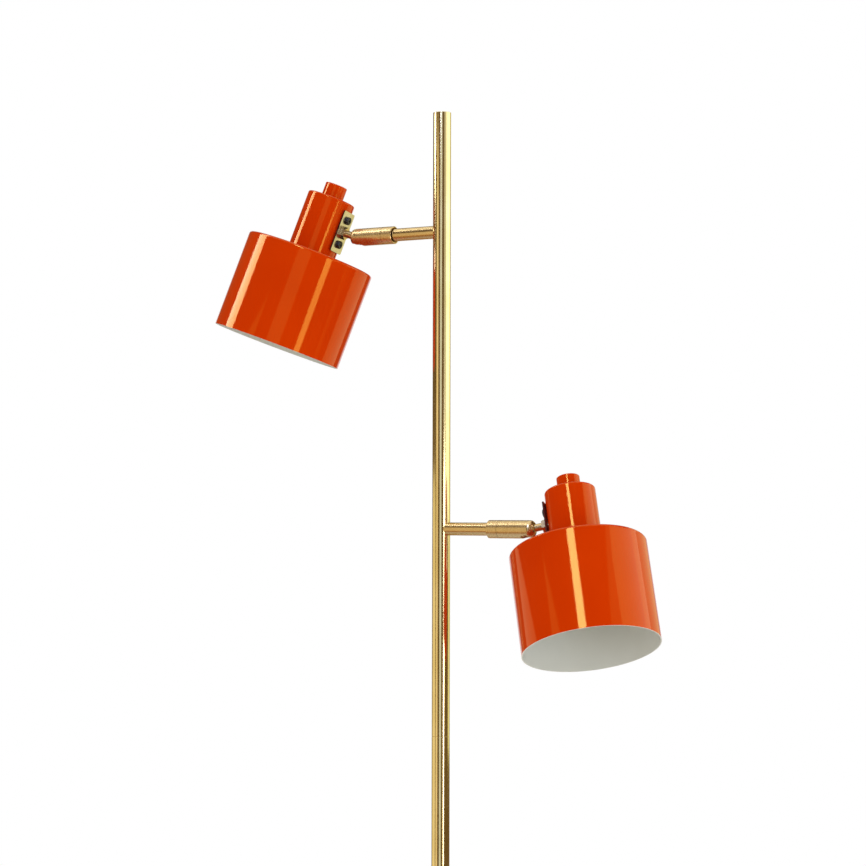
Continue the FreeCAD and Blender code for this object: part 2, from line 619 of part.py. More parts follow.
# ---------------------------------------------------------------- head
def make_bracket(side, head_frame):
    """Plate, its screws, the strip that backs it inside the neck, and the stem's nuts."""
    lying = head_frame * STAND_TO_X

    nut = body(side + "_stud_nut")
    hexagon(nut, "stud_nut_flats", "nut_face", "plate_front")
    rod(nut, "stud_thread_dia / 2 + turning_clearance", "nut_face", "plate_front", cut=True)
    nut.Placement = lying

    plate = body(side + "_bracket_plate")
    block(plate, ("-plate_height / 2", "-plate_width / 2", "plate_front"),
          ("plate_height / 2", "plate_width / 2", "plate_back"))
    dress(plate, "Fillet", "plate_corner", lambda edge: is_upright(edge, size("plate_width") / 2))
    rod(plate, "stud_thread_dia / 2 + hole_clearance", "plate_front", "plate_back", cut=True)

    screws = body(side + "_plate_screws")
    for place in ("-screw_spacing / 2", "screw_spacing / 2"):
        rod(plate, "screw_dia / 2 + hole_clearance", "plate_front", "plate_back",
            across=(place, "0"), cut=True)
        rod(screws, "screw_head_dia / 2", "screw_head_face", "plate_front", across=(place, "0"))
        rod(screws, "screw_dia / 2", "plate_front", "strip_back + screw_end_spare", across=(place, "0"))
    dress(screws, "Fillet", "screw_head_round", lambda edge: is_head_edge(edge, size("screw_head_face")))
    for place in ("-screw_spacing / 2", "screw_spacing / 2"):
        for along, wide in (("cross_length", "cross_width"), ("cross_width", "cross_length")):
            block(screws, ("%s - %s / 2" % (place, along), "-%s / 2" % wide, "screw_head_face"),
                  ("%s + %s / 2" % (place, along), "%s / 2" % wide, "cross_floor"), cut=True)
    plate.Placement = lying
    screws.Placement = lying

    strip = body(side + "_backing_strip")
    block(strip, ("-strip_height / 2", "-strip_width / 2", "strip_front"),
          ("strip_height / 2", "strip_width / 2", "strip_back"))
    rod(strip, "stud_thread_dia / 2 + hole_clearance", "strip_front", "strip_back", cut=True)
    for place in ("-screw_spacing / 2", "screw_spacing / 2"):
        rod(strip, "screw_dia / 2 + fit_clearance", "strip_front", "strip_back",
            across=(place, "0"), cut=True)
    strip.Placement = lying

    inner = body(side + "_inner_nut")
    hexagon(inner, "stud_nut_flats", "strip_back", "inner_nut_end")
    rod(inner, "stud_thread_dia / 2 + turning_clearance", "strip_back", "inner_nut_end", cut=True)
    inner.Placement = lying


def is_head_edge(edge, level):
    """Whether an edge is the rim of a screw head's outer face."""
    circle = isinstance(edge.Curve, Part.Circle)
    return circle and abs(edge.Curve.Center.z - level) < 1e-4


def make_shade(side, axis_frame):
    """The spun shade: drum, shoulder and neck in one sheet."""
    drum_radius = size("drum_dia") / 2
    shade = body(side + "_shade")
    rod(shade, "drum_dia / 2", "opening", "shoulder")
    rod(shade, "neck_radius", "shoulder", "neck_top")
    round_ring(shade, "shoulder_round", drum_radius, size("shoulder"))
    round_ring(shade, "neck_root_round", size("neck_radius"), size("shoulder"))
    round_ring(shade, "neck_top_round", size("neck_radius"), size("neck_top"))
    rod(shade, "drum_dia / 2 - shade_wall", "opening", "shoulder - shade_wall", cut=True)
    rod(shade, "neck_bore_radius", "shoulder - shade_wall", "neck_ceiling", cut=True)
    ceiling = size("shoulder") - size("shade_wall")
    round_ring(shade, "shoulder_round - shade_wall", drum_radius - size("shade_wall"), ceiling)
    round_ring(shade, "neck_root_round + shade_wall", size("neck_bore_radius"), ceiling)
    round_ring(shade, "neck_top_round - shade_wall", size("neck_bore_radius"), size("neck_ceiling"))
    rod(shade, "bush_dia / 2 + hole_clearance", "neck_ceiling", "neck_top", cut=True)
    wall = ("-neck_radius - shade_wall", "strip_edge_depth - neck_bore_radius")
    rod(shade, "stud_thread_dia / 2 + hole_clearance", wall[0], wall[1], axis="x", cut=True)
    for level in ("-screw_spacing / 2", "screw_spacing / 2"):
        rod(shade, "screw_dia / 2 + hole_clearance", wall[0], wall[1], axis="x",
            across=("0", level), cut=True)
    shade.Placement = axis_frame


def make_switch(side, axis_frame):
    """The knob on top of the neck and the spindle that it turns."""
    knob = body(side + "_knob")
    rod(knob, "knob_dia / 2", "knob_bottom", "knob_bottom + knob_height")
    round_ring(knob, "knob_round", size("knob_dia") / 2, size("knob_bottom") + size("knob_height"))
    rod(knob, "knob_recess_dia / 2", "knob_bottom", "knob_floor", cut=True)
    rod(knob, "spindle_dia / 2 + fit_clearance", "knob_floor", "knob_floor + spindle_bite", cut=True)
    knob.Placement = axis_frame

    spindle = body(side + "_knob_spindle")
    rod(spindle, "spindle_dia / 2", "neck_top - spindle_reach", "knob_floor + spindle_bite")
    spindle.Placement = axis_frame


def make_lampholder(side, axis_frame):
    """The switched lampholder that hangs from the neck's top, and the bulb in it."""
    holder = body(side + "_lampholder")
    rod(holder, "switch_dia / 2", "switch_bottom", "neck_ceiling")
    rod(holder, "holder_dia / 2", "holder_rim", "switch_bottom")
    rod(holder, "bush_dia / 2", "neck_ceiling", "neck_top + bush_height")
    rod(holder, "holder_cavity_dia / 2", "holder_rim", "cavity_top", cut=True)
    rod(holder, "spindle_dia / 2 + fit_clearance", "neck_top - spindle_reach",
        "neck_top + bush_height", cut=True)
    holder.Placement = axis_frame

    nut = body(side + "_lampholder_nut")
    hexagon(nut, "bush_nut_flats", "neck_top", "neck_top + bush_nut_height")
    rod(nut, "bush_dia / 2 + fit_clearance", "neck_top", "neck_top + bush_nut_height", cut=True)
    nut.Placement = axis_frame

    contacts = body(side + "_socket_contacts")
    rod(contacts, "shell_radius", "shell_bottom", "shell_bottom + shell_length")
    rod(contacts, "shell_radius - shell_wall", "shell_bottom", "shell_bottom + shell_length", cut=True)
    rod(contacts, "contact_dia / 2", "cavity_top - contact_height", "cavity_top")
    contacts.Placement = axis_frame

    cap = body(side + "_bulb_cap")
    rod(cap, "cap_dia / 2", "cap_bottom", "cap_top")
    rod(cap, "tip_dia / 2", "cap_top", "tip_top")
    cap.Placement = axis_frame

    glass = body(side + "_bulb_glass")
    ball(glass, "globe_dia / 2", "globe_centre")
    cone(glass, "globe_cone_dia / 2", "globe_neck_dia / 2", "glass_cone_end", "glass_neck_end")
    rod(glass, "globe_neck_dia / 2", "glass_neck_end", "cap_bottom")
    ball(glass, "globe_dia / 2 - globe_wall", "globe_centre", cut=True)
    cone(glass, "globe_cone_dia / 2 - globe_wall", "globe_bore / 2", "glass_cone_end", "glass_neck_end",
         cut=True)
    rod(glass, "globe_bore / 2", "glass_neck_end", "cap_bottom", cut=True)
    glass.Placement = axis_frame


def make_head(side, outward):
    """Everything past the arm, in the pose of the photographed lamp."""
    arm_frame = Placement(Vector(0, 0, size(side + "_arm_level")), Rotation(Vector(0, 0, 1), outward))
    arm_frame *= Placement(Vector(size("arm_reach"), 0, 0), Rotation(Vector(1, 0, 0), size(side + "_roll")))
    raised = Placement(Vector(0, 0, 0), Rotation(Vector(0, -1, 0), size(side + "_tilt")))
    aside = Placement(Vector(0, 0, 0), Rotation(Vector(0, 0, 1), size(side + "_side")))
    spun = Placement(Vector(0, 0, 0), Rotation(Vector(1, 0, 0), size(side + "_spin")))
    ball_frame = arm_frame * raised * aside
    head_frame = ball_frame * spun
    axis_frame = head_frame * Placement(Vector(size("neck_axis_to_ball"), 0, 0), Rotation())

    make_swivel(side, arm_frame, ball_frame)
    make_bracket(side, head_frame)
    make_shade(side, axis_frame)
    make_switch(side, axis_frame)
    make_lampholder(side, axis_frame)

    points = [
        Vector(size("plate_back"), 0, 0),
        Vector(size("head_lead_offset"), 0, 0),
        Vector(size("head_lead_offset"), 0, size("switch_bottom")),
    ]
    lead = swept_lead(points, [size("head_lead_bend")], size("stud_lead_dia") / 2)
    shaped(side + "_head_lead", lead, head_frame)


# ---------------------------------------------------------------- the lamp
make_base()
make_pole()
for head_side, arm_direction in (("upper", 180), ("lower", 0)):
    make_arm(head_side, arm_direction)
    make_head(head_side, arm_direction)
doc.recompute()

for item in doc.Objects:
    if "Invalid" in item.State or "Error" in item.State:
        raise RuntimeError("%s failed: %s" % (item.Label, item.State))
for item in SUBPARTS:
    if item.Shape.isNull() or not item.Shape.isValid():
        raise RuntimeError("%s has no valid shape" % item.Label)
    item.Shape.exportStep(os.path.join("parts", item.Label + ".step"))
    print("%-24s solids %d  volume %10.1f mm3" % (item.Label, len(item.Shape.Solids), item.Shape.Volume))
print("sub-parts", len(SUBPARTS))
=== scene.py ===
"""Looks of the two-headed brass floor lamp, in metres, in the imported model's own frame.

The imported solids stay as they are, and each gets its finish here. The rest is the photograph's camera, a
pale floor and a studio.
Places in the studio are given as (right, away, up): right and away as the photograph's camera sees the
pole, up above the floor. seen() turns them into the part's frame.
"""
import bpy
import json
import math

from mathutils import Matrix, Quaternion, Vector

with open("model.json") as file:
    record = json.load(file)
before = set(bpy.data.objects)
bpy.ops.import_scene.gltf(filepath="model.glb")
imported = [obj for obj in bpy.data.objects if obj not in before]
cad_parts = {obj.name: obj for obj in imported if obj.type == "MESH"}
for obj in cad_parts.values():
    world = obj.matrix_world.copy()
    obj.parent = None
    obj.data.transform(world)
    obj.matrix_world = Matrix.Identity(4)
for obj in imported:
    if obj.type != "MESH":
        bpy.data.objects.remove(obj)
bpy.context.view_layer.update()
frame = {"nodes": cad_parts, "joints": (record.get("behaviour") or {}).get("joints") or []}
NODES = frame["nodes"]
JOINTS = {joint["name"]: joint for joint in frame["joints"]}
SIDES = ("upper", "lower")

# ---------------------------------------------------------------- camera
VIEW_TURN = math.radians(31.10)         # the photograph's direction, round the pole
SENSOR = 36.0                           # millimetres
LENS = 98.23                            # millimetres
CLIP = (0.05, 60.0)
CAMERA_RIGHT = -0.0084
CAMERA_DISTANCE = 2.3565
CAMERA_HEIGHT = 0.8687
CAMERA_PITCH = math.radians(1.946)      # upwards
CAMERA_ROLL = 0.00243                   # radians


def seen(right, away, up):
    """From the photograph's own axes to the part's frame."""
    cos, sin = math.cos(VIEW_TURN), math.sin(VIEW_TURN)
    return Vector((right * cos - away * sin, right * sin + away * cos, up))


def place(thing, name):
    """A new object of the scene for some camera, light or mesh."""
    owner = bpy.data.objects.new(name, thing)
    bpy.context.scene.collection.objects.link(owner)
    return owner


def make_camera():
    """The photograph's camera, level but for a slight upward tilt."""
    data = bpy.data.cameras.new("camera")
    data.sensor_width = SENSOR
    data.lens = LENS
    data.clip_start, data.clip_end = CLIP
    camera = place(data, "camera")
    forward = seen(0.0, math.cos(CAMERA_PITCH), math.sin(CAMERA_PITCH))
    camera.rotation_mode = "QUATERNION"
    camera.rotation_quaternion = forward.to_track_quat("-Z", "Y") @ Quaternion((0, 0, 1), CAMERA_ROLL)
    camera.location = seen(CAMERA_RIGHT, -CAMERA_DISTANCE, CAMERA_HEIGHT)
    bpy.context.scene.camera = camera


# ---------------------------------------------------------------- node helpers
class Recipe:
    """A node tree that is filled by short calls."""

    def __init__(self, owner):
        owner.use_nodes = True
        self.tree = owner.node_tree
        self.tree.nodes.clear()

    def add(self, kind, sockets=None, **settings):
        """A node with its settings, and with each named socket set to a number or joined to an output."""
        node = self.tree.nodes.new(kind)
        for name, value in settings.items():
            setattr(node, name, value)
        for name, value in (sockets or {}).items():
            self.feed(node.inputs[name], value)
        return node

    def feed(self, socket, value):
        """A socket's value, or the output that it is joined to."""
        if isinstance(value, bpy.types.NodeSocket):
            self.tree.links.new(value, socket)
        else:
            socket.default_value = value

    def math(self, operation, first, second=0.0, clamp=False):
        """One arithmetic step."""
        node = self.add("ShaderNodeMath", {0: first, 1: second}, operation=operation, use_clamp=clamp)
        return node.outputs[0]

    def vector(self, operation, first, second=(0.0, 0.0, 0.0)):
        """One vector step; the dot product and the length come out as a number."""
        node = self.add("ShaderNodeVectorMath", {0: first, 1: second}, operation=operation)
        return node.outputs["Value" if operation in ("DOT_PRODUCT", "LENGTH") else "Vector"]

    def scaled(self, vector, factor):
        """A vector times a number."""
        node = self.add("ShaderNodeVectorMath", {0: vector, "Scale": factor}, operation="SCALE")
        return node.outputs["Vector"]

    def coordinate(self, output):
        """A point, a normal or a direction of what is shaded, in the object's own frame."""
        return self.add("ShaderNodeTexCoord").outputs[output]

    def noise(self, scales, detail=3.0, roughness=0.5):
        """Noise from 0 to 1, with so many cells per metre, along all axes alike or along each."""
        if isinstance(scales, float):
            scales = (scales, scales, scales)
        stretched = self.add("ShaderNodeMapping", {"Vector": self.coordinate("Object"), "Scale": scales})
        node = self.add("ShaderNodeTexNoise", {"Vector": stretched.outputs[0], "Scale": 1.0,
                                               "Detail": detail, "Roughness": roughness})
        return node.outputs["Fac"]

    def spread(self, value, low, high, span=(0.3, 0.7), shape="LINEAR"):
        """A number brought from one span to another."""
        sockets = {"Value": value, "From Min": span[0], "From Max": span[1], "To Min": low, "To Max": high}
        return self.add("ShaderNodeMapRange", sockets, interpolation_type=shape).outputs["Result"]

    def fade(self, value, span):
        """A soft step from 0 to 1 over a span."""
        return self.spread(value, 0.0, 1.0, span, "SMOOTHSTEP")

    def mix(self, factor, first, second):
        """A colour between two."""
        node = self.add("ShaderNodeMix", data_type="RGBA")
        for socket, value in zip((node.inputs[0], node.inputs[6], node.inputs[7]), (factor, first, second)):
            self.feed(socket, value)
        return node.outputs[2]

    def average(self, first, second, share):
        """The sum of two numbers, of which the first has such a share."""
        rest = self.math("MULTIPLY", second, 1.0 - share)
        return self.math("ADD", self.math("MULTIPLY", first, share), rest)

    def blend(self, factor, first, second):
        """A number between two."""
        gap = self.math("SUBTRACT", second, first)
        return self.math("ADD", first, self.math("MULTIPLY", factor, gap))

    def bump(self, height, depth, below=None):
        """A normal from a height that spans so many metres."""
        sockets = {"Height": height, "Distance": depth}
        if below is not None:
            sockets["Normal"] = below
        return self.add("ShaderNodeBump", sockets).outputs["Normal"]

    def principled(self, base, roughness, normal, **sockets):
        """The finished surface, with a socket's blanks written as underscores."""
        sockets = {name.replace("_", " "): value for name, value in sockets.items()}
        sockets.update({"Base Color": base, "Roughness": roughness, "Normal": normal})
        shader = self.add("ShaderNodeBsdfPrincipled", sockets)
        self.add("ShaderNodeOutputMaterial", {"Surface": shader.outputs[0]})


def fresh(name):
    """A new material and its recipe."""
    material = bpy.data.materials.new(name)
    return material, Recipe(material)


def colour(red, green, blue):
    """A linear colour."""
    return (red, green, blue, 1.0)


# ---------------------------------------------------------------- finishes
# Linear colours. Where there are two, a finish wanders between them.
BRASS = colour(0.80, 0.69, 0.44)
BRASS_DULL = colour(0.70, 0.58, 0.31)
BRASS_RAW = colour(0.55, 0.38, 0.15)
# A darker, browner copy of the brass for the arms, sleeves and studs: painted shade for their dimmer
# reflections.
SHADED_ARM_BRASS = colour(0.62, 0.48, 0.27)
SHADED_ARM_BRASS_DULL = colour(0.54, 0.40, 0.20)
STEEL = colour(0.62, 0.62, 0.60)
STEEL_DULL = colour(0.50, 0.51, 0.50)
SPRING = colour(0.42, 0.42, 0.43)
SPRING_DULL = colour(0.30, 0.30, 0.31)
NICKEL = colour(0.66, 0.60, 0.49)
NICKEL_DULL = colour(0.54, 0.48, 0.37)
# Painted shade on the plates' cut edges, maroon like the orange neck beside them.
EDGE_PAINTED_SHADE = colour(0.045, 0.014, 0.010)
CAP = colour(0.66, 0.65, 0.62)
CAP_DULL = colour(0.56, 0.55, 0.52)
OXIDE = colour(0.003, 0.003, 0.004)
OXIDE_WORN = colour(0.008, 0.008, 0.008)
CAST = colour(0.03, 0.03, 0.032)
CAST_PALE = colour(0.05, 0.05, 0.052)
FELT = colour(0.03, 0.03, 0.032)
FELT_PALE = colour(0.09, 0.088, 0.085)
BLACK = colour(0.012, 0.012, 0.013)
BLACK_PALE = colour(0.02, 0.02, 0.021)
JACKET = colour(0.02, 0.02, 0.021)
JACKET_PALE = colour(0.03, 0.03, 0.031)
CREAM = colour(0.72, 0.70, 0.64)
CREAM_DEEP = colour(0.66, 0.64, 0.58)
HOLDER = colour(0.70, 0.69, 0.66)
HOLDER_DEEP = colour(0.64, 0.63, 0.60)
OPAL = colour(0.86, 0.86, 0.84)
OPAL_DEEP = colour(0.80, 0.80, 0.78)
ENAMEL = colour(0.60, 0.034, 0.0)
ENAMEL_DEEP = colour(0.565, 0.029, 0.0)
ENAMEL_TINT = colour(1.0, 0.76, 0.12)   # the gloss of a strong orange looks warm
# The shades' white enamel lining, painted greyer than it is: painted shade inside the drums.
SHADED_LINING = colour(0.68, 0.67, 0.61)
SHADED_LINING_DEEP = colour(0.64, 0.63, 0.57)

# Noise, in cells per metre.
POLISH_ACROSS, POLISH_ALONG = 2600.0, 12.0
STREAK_ACROSS, STREAK_ALONG = 420.0, 4.0
LATHE_RINGS = (5200.0, 30.0, 30.0)
LATHE_BANDS = (700.0, 8.0, 8.0)
POLE_CLOUD, LATHE_CLOUD, METAL_CLOUD, MOULD_CLOUD = 22.0, 60.0, 90.0, 60.0
METAL_GRAIN = 900.0
MOULD_GRAIN, CAST_GRAIN = 700.0, 320.0
FELT_FIBRES = 1500.0
OPAL_CLOUD = 50.0
ENAMEL_DUST, ENAMEL_CLOUD, ENAMEL_RIPPLE = 2400.0, 18.0, 110.0

# Depth of the relief, in metres.
POLISH_DEPTH = 0.000001
LATHE_DEPTH = 0.000003
METAL_DEPTH = 0.00001
MOULD_DEPTH, CAST_DEPTH = 0.00003, 0.0002
FELT_DEPTH = 0.0004
OPAL_DEPTH = 0.00005
DUST_DEPTH, RIPPLE_DEPTH = 0.0000006, 0.000006

# Roughness, at the two ends of its noise, and other shares.
ENAMEL_GLOSS = (0.05, 0.085)
LINING_GLOSS = (0.34, 0.46)
OPAL_GLOSS = (0.12, 0.18)
PLATE_GLOSS = (0.2, 0.3)
EDGE_ROUGHNESS = 0.5
FELT_ROUGHNESS = 0.95
BRASS_CONTRAST = (0.38, 0.62)           # part of the noise that the brass goes from bright to dull over
STREAK_SHARE, BAND_SHARE = 0.45, 0.5    # of the streaks or bands in the brass's colour, the rest is cloud
# Below this span the plate's edges take the painted shade.
FACE_SPAN = (0.75, 0.95)                # the plate's flat faces, by the cosine with its axis


def drawn_metal(name, along, bright=BRASS, dull=BRASS_DULL, roughness=0.13):
    """Lacquered brass with fine polishing lines along one axis."""
    material, recipe = fresh(name)
    fine = [POLISH_ACROSS] * 3
    fine[along] = POLISH_ALONG
    coarse = [STREAK_ACROSS] * 3
    coarse[along] = STREAK_ALONG
    lines = recipe.noise(fine, detail=2.0)
    streaks = recipe.noise(coarse, detail=2.0)
    tone = recipe.average(streaks, recipe.noise(POLE_CLOUD, detail=4.0), STREAK_SHARE)
    recipe.principled(recipe.mix(recipe.spread(tone, 0.0, 1.0, BRASS_CONTRAST), bright, dull),
                      recipe.spread(lines, roughness * 0.8, roughness * 1.3),
                      recipe.bump(lines, POLISH_DEPTH), Metallic=1.0)
    return material


def turned_metal(name, roughness=0.27):
    """Brass from the lathe, with fine rings square to the arm, painted darker as painted shade."""
    material, recipe = fresh(name)
    rings = recipe.noise(LATHE_RINGS, detail=2.0)
    bands = recipe.noise(LATHE_BANDS, detail=2.0)
    tone = recipe.average(bands, recipe.noise(LATHE_CLOUD, detail=4.0), BAND_SHARE)
    shade = recipe.spread(tone, 0.0, 1.0, BRASS_CONTRAST)
    # The darker brass here is painted shade.
    recipe.principled(recipe.mix(shade, SHADED_ARM_BRASS, SHADED_ARM_BRASS_DULL),
                      recipe.spread(rings, roughness * 0.75, roughness * 1.3),
                      recipe.bump(rings, LATHE_DEPTH), Metallic=1.0)
    return material


def plain_metal(name, bright, dull, roughness):
    """Metal with an even, fine grain."""
    material, recipe = fresh(name)
    speckle = recipe.noise(METAL_GRAIN)
    cloud = recipe.noise(METAL_CLOUD, detail=4.0)
    recipe.principled(recipe.mix(recipe.spread(cloud, 0.0, 1.0), bright, dull),
                      recipe.spread(speckle, roughness * 0.8, roughness * 1.25),
                      recipe.bump(speckle, METAL_DEPTH), Metallic=1.0)
    return material


def plate_metal(side):
    """A bright plate whose cut edges are painted dark: painted shade, maroon like the orange neck beside
    them.
    """
    material, recipe = fresh(side + "_plate_nickel")
    normal = recipe.coordinate("Normal")
    facing = recipe.vector("DOT_PRODUCT", normal, JOINTS[side + "_head_spin"]["axis"])
    flat = recipe.spread(recipe.math("ABSOLUTE", facing), 0.0, 1.0, FACE_SPAN)
    speckle = recipe.noise(METAL_GRAIN)
    cloud = recipe.noise(METAL_CLOUD, detail=4.0)
    face = recipe.mix(recipe.spread(cloud, 0.0, 1.0), NICKEL, NICKEL_DULL)
    # The edges get painted shade in place of the nickel.
    recipe.principled(recipe.mix(flat, EDGE_PAINTED_SHADE, face),
                      recipe.blend(flat, EDGE_ROUGHNESS, recipe.spread(speckle, *PLATE_GLOSS)),
                      recipe.bump(speckle, METAL_DEPTH), Metallic=1.0)
    return material


def moulded(name, first, second, roughness=0.4, grain=MOULD_GRAIN, depth=MOULD_DEPTH):
    """Plastic, oxide or cast paint with a fine grain."""
    material, recipe = fresh(name)
    speckle = recipe.noise(grain)
    cloud = recipe.noise(MOULD_CLOUD, detail=4.0)
    recipe.principled(recipe.mix(recipe.spread(cloud, 0.0, 1.0), first, second),
                      recipe.spread(speckle, roughness * 0.85, roughness * 1.2),
                      recipe.bump(speckle, depth))
    return material


def felt(name):
    """Pressed felt."""
    material, recipe = fresh(name)
    fibres = recipe.noise(FELT_FIBRES, detail=6.0, roughness=0.7)
    recipe.principled(recipe.mix(recipe.spread(fibres, 0.0, 1.0), FELT, FELT_PALE),
                      FELT_ROUGHNESS, recipe.bump(fibres, FELT_DEPTH))
    return material


def opal(name):
    """Opal glass of an unlit bulb."""
    material, recipe = fresh(name)
    cloud = recipe.noise(OPAL_CLOUD)
    recipe.principled(recipe.mix(recipe.spread(cloud, 0.0, 1.0), OPAL, OPAL_DEEP),
                      recipe.spread(cloud, *OPAL_GLOSS), recipe.bump(cloud, OPAL_DEPTH))
    return material


def enamel_relief(recipe, dust):
    """Specks of dust under the gloss, on a sheet that is not quite flat."""
    ripple = recipe.noise(ENAMEL_RIPPLE, detail=1.0)
    return recipe.bump(dust, DUST_DEPTH, below=recipe.bump(ripple, RIPPLE_DEPTH))


def knob_enamel(name):
    """The shades' orange on the knobs: a deep even colour under a hard gloss."""
    material, recipe = fresh(name)
    dust = recipe.noise(ENAMEL_DUST, detail=1.0)
    tone = recipe.spread(recipe.noise(ENAMEL_CLOUD), 0.0, 1.0)
    recipe.principled(recipe.mix(tone, ENAMEL, ENAMEL_DEEP), recipe.spread(dust, *ENAMEL_GLOSS),
                      enamel_relief(recipe, dust), Specular_Tint=ENAMEL_TINT)
    return material


def shade_enamel(side):
    """Orange outside and white enamel inside, greyed by painted shade: the side of the sheet is told by its
    direction from the axis.
    """
    material, recipe = fresh(side + "_shade_enamel")
    joint = JOINTS[side + "_switch_turn"]
    from_axis = recipe.vector("SUBTRACT", recipe.coordinate("Object"), joint["pos_m"])
    along = recipe.vector("DOT_PRODUCT", from_axis, joint["axis"])
    axis = recipe.add("ShaderNodeCombineXYZ", dict(zip("XYZ", joint["axis"]))).outputs[0]
    outward = recipe.vector("NORMALIZE", recipe.vector("SUBTRACT", from_axis, recipe.scaled(axis, along)))
    normal = recipe.coordinate("Normal")
    facing_out = recipe.vector("DOT_PRODUCT", normal, outward)
    facing_up = recipe.vector("DOT_PRODUCT", normal, joint["axis"])
    outside = recipe.math("GREATER_THAN", recipe.math("ADD", facing_out, facing_up), 0.0)
    dust = recipe.noise(ENAMEL_DUST, detail=1.0)
    tone = recipe.spread(recipe.noise(ENAMEL_CLOUD), 0.0, 1.0)
    # The lining's grey is partly painted shade.
    lining = recipe.mix(tone, SHADED_LINING, SHADED_LINING_DEEP)
    enamel = recipe.mix(tone, ENAMEL, ENAMEL_DEEP)
    gloss = recipe.blend(outside, recipe.spread(dust, *LINING_GLOSS), recipe.spread(dust, *ENAMEL_GLOSS))
    recipe.principled(recipe.mix(outside, lining, enamel), gloss,
                      enamel_relief(recipe, dust), Specular_Tint=ENAMEL_TINT)
    return material


def dress_nodes():
    """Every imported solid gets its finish."""
    finishes = {
        "pole": drawn_metal("pole_polish", along=2),
        # The arms take the darker brass, which is painted shade.
        "arm": drawn_metal("arm_polish", along=0, bright=SHADED_ARM_BRASS, dull=SHADED_ARM_BRASS_DULL, roughness=0.2),
        "turned": turned_metal("lathe_polish"),
        "base": drawn_metal("base_polish", along=0, roughness=0.2),
        "dull_brass": plain_metal("raw_brass", BRASS_DULL, BRASS_RAW, 0.38),
        "black": moulded("black_oxide", OXIDE, OXIDE_WORN, 0.42),
        "steel": plain_metal("zinc_plate", STEEL, STEEL_DULL, 0.32),
        "spring": plain_metal("spring_steel", SPRING, SPRING_DULL, 0.3),
        "cast": moulded("cast_paint", CAST, CAST_PALE, 0.6, CAST_GRAIN, CAST_DEPTH),
        "felt": felt("pressed_felt"),
        "black_plastic": moulded("black_plastic", BLACK, BLACK_PALE),
        "pale_plastic": moulded("pale_plastic", CREAM, CREAM_DEEP),
        "holder": moulded("holder_plastic", HOLDER, HOLDER_DEEP, 0.35),
        "lead": moulded("lead_jacket", JACKET, JACKET_PALE, 0.45),
        "cap": plain_metal("cap_nickel", CAP, CAP_DULL, 0.25),
        "opal": opal("opal_glass"),
        "knob": knob_enamel("knob_enamel"),
    }
    stand_kinds = {
        "pole": "lower_tube upper_tube pole_plug base_boss",
        "base": "base_cover",
        "cast": "base_weight",
        "felt": "base_pad",
        "steel": "base_rod base_washer base_nut",
        "pale_plastic": "terminal_block",
        "black_plastic": "cord_bush",
        "dull_brass": "pole_foot pole_joiner",
    }
    side_kinds = {
        "arm": "arm",
        "turned": "sleeve_ring sleeve friction_cup ball_stud stud_nut",
        "lead": "arm_lead stud_lead head_lead",
        "spring": "sleeve_clip disc_springs",
        "black": "plate_screws",
        "steel": "backing_strip inner_nut knob_spindle lampholder_nut",
        "knob": "knob",
        "holder": "lampholder",
        "dull_brass": "socket_contacts",
        "cap": "bulb_cap",
        "opal": "bulb_glass",
    }
    chosen = {name: finishes[kind] for kind, names in stand_kinds.items() for name in names.split()}
    for side in SIDES:
        for kind, names in side_kinds.items():
            for name in names.split():
                chosen[side + "_" + name] = finishes[kind]
        chosen[side + "_shade"] = shade_enamel(side)
        chosen[side + "_bracket_plate"] = plate_metal(side)
    for name, node in NODES.items():
        for slot in node.material_slots:
            slot.material = chosen[name]


# ---------------------------------------------------------------- studio
# Soft boxes: azimuth in degrees to the right of the camera as seen from the pole, distance from the pole,
# bottom, top, width, radiance and colour.
SHOWN_PANELS = {
    "left_box": (-98.0, 1.0, 1.34, 2.3, 0.3, 10.0, (1.0, 0.97, 0.9)),
    "back_left_box": (-105.0, 1.4, 0.0, 0.93, 1.43, 0.85, (1.0, 0.88, 0.52)),
    "right_soft": (66.0, 1.25, 0.85, 1.75, 1.8, 0.8, (0.72, 0.75, 0.62)),
    "right_box": (84.0, 1.25, 0.85, 1.75, 1.3, 1.1, (0.90, 0.96, 0.85)),
    "back_box": (122.0, 1.25, 0.50, 1.60, 1.0, 1.0, (0.85, 0.86, 0.45)),
    "low_strip": (35.0, 1.6, 0.2, 0.95, 0.3, 5.6, (1.0, 0.95, 0.85)),
    "left_panel": (-56.0, 1.6, 0.0, 1.5, 0.72, 0.85, (1.0, 0.84, 0.5)),
    "middle_panel": (-9.0, 1.9, 0.0, 2.0, 0.75, 0.75, (0.85, 1.0, 1.0)),
    "high_strip": (-14.0, 1.5, 1.6, 3.2, 0.35, 14.0, (0.95, 1.15, 2.0)),
}
FILL_PANEL = (48.0, 2.6, 0.0, 1.0, 1.8, 2.0, (0.85, 1.0, 1.15))

WHITE = colour(1.0, 1.0, 1.0)           # paper, and the even light on the lamp
ROOM = colour(0.17, 0.10, 0.03)         # what gloss and metal see of the room
ROOM_FLOOR = colour(0.50, 0.25, 0.08)
CEILING = colour(1.35, 1.30, 1.15)
PAPER_EDGE = (0.90, 0.97)               # cosines with the straight way back from the camera
CEILING_EDGE = (0.68, 0.78)             # sines of the height above the horizon
FLOOR_EDGE = (-0.25, -0.45)

FLOOR_PAPER = colour(0.84, 0.84, 0.84)
FLOOR_RADIUS = 1.5
FLOOR_STEPS = 96
FLOOR_FADE = (0.35, 1.1)


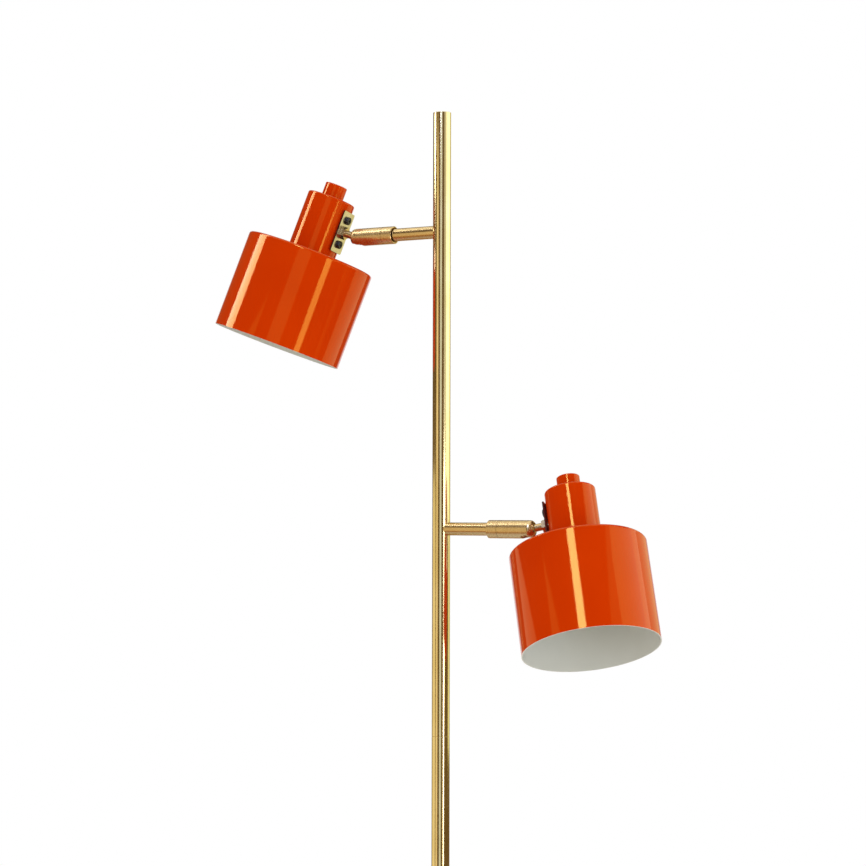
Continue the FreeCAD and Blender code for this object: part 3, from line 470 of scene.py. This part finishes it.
def panel(name, azimuth, distance, bottom, top, width, radiance, tint):
    """An upright soft box that faces the pole, and that the camera doesn't see."""
    data = bpy.data.lights.new(name, "AREA")
    data.shape = "RECTANGLE"
    data.size = width
    data.size_y = top - bottom
    data.energy = radiance * math.pi * data.size * data.size_y
    data.color = tint
    light = place(data, name)
    turn = math.radians(azimuth)
    light.location = seen(distance * math.sin(turn), -distance * math.cos(turn), (bottom + top) / 2)
    inward = Vector((-light.location.x, -light.location.y, 0.0))
    light.rotation_mode = "QUATERNION"
    light.rotation_quaternion = inward.to_track_quat("-Z", "Y")
    light.visible_camera = False
    return light


def make_world():
    """White paper behind the lamp, a dim room for gloss and metal, and an even white light."""
    world = bpy.data.worlds.new("studio")
    bpy.context.scene.world = world
    recipe = Recipe(world)
    ray = recipe.add("ShaderNodeLightPath").outputs
    direction = recipe.coordinate("Generated")
    behind = recipe.vector("DOT_PRODUCT", direction, tuple(seen(0.0, 1.0, 0.0)))
    height = recipe.vector("DOT_PRODUCT", direction, (0.0, 0.0, 1.0))
    mirrored = recipe.math("ADD", ray["Is Glossy Ray"], ray["Is Transmission Ray"], clamp=True)
    paper = recipe.math("MULTIPLY", mirrored, recipe.fade(behind, PAPER_EDGE))
    shown = recipe.math("MAXIMUM", ray["Is Camera Ray"], paper)
    below = recipe.mix(recipe.fade(height, FLOOR_EDGE), ROOM, ROOM_FLOOR)
    room = recipe.mix(recipe.fade(height, CEILING_EDGE), below, CEILING)
    light = recipe.add("ShaderNodeBackground", {"Color": recipe.mix(mirrored, WHITE, room), "Strength": 1.0})
    white = recipe.add("ShaderNodeBackground", {"Color": WHITE, "Strength": 1.0})
    both = recipe.add("ShaderNodeMixShader", {0: shown, 1: light.outputs[0], 2: white.outputs[0]})
    recipe.add("ShaderNodeOutputWorld", {"Surface": both.outputs[0]})


def make_studio():
    """The world's light, soft boxes that only gloss and metal show, and one that only lights."""
    make_world()
    for name, row in SHOWN_PANELS.items():
        panel(name, *row).visible_diffuse = False
    panel("low_fill", *FILL_PANEL).visible_glossy = False
    bpy.context.scene.view_settings.view_transform = "Standard"


def make_floor():
    """A pale floor that fades into the white paper."""
    mesh = bpy.data.meshes.new("floor")
    turns = [2 * math.pi * step / FLOOR_STEPS for step in range(FLOOR_STEPS)]
    ring = [(FLOOR_RADIUS * math.cos(turn), FLOOR_RADIUS * math.sin(turn), 0.0) for turn in turns]
    mesh.from_pydata(ring, [], [list(range(FLOOR_STEPS))])
    floor = place(mesh, "floor")
    material, recipe = fresh("floor_paper")
    reach = recipe.vector("LENGTH", recipe.vector("MULTIPLY", recipe.coordinate("Object"), (1.0, 1.0, 0.0)))
    paper = recipe.add("ShaderNodeBsdfDiffuse", {"Color": FLOOR_PAPER})
    clear = recipe.add("ShaderNodeBsdfTransparent")
    both = recipe.add("ShaderNodeMixShader", {0: recipe.fade(reach, FLOOR_FADE), 1: paper.outputs[0],
                                              2: clear.outputs[0]})
    recipe.add("ShaderNodeOutputMaterial", {"Surface": both.outputs[0]})
    mesh.materials.append(material)


# ---------------------------------------------------------------- the scene
make_camera()
dress_nodes()
make_studio()
make_floor()
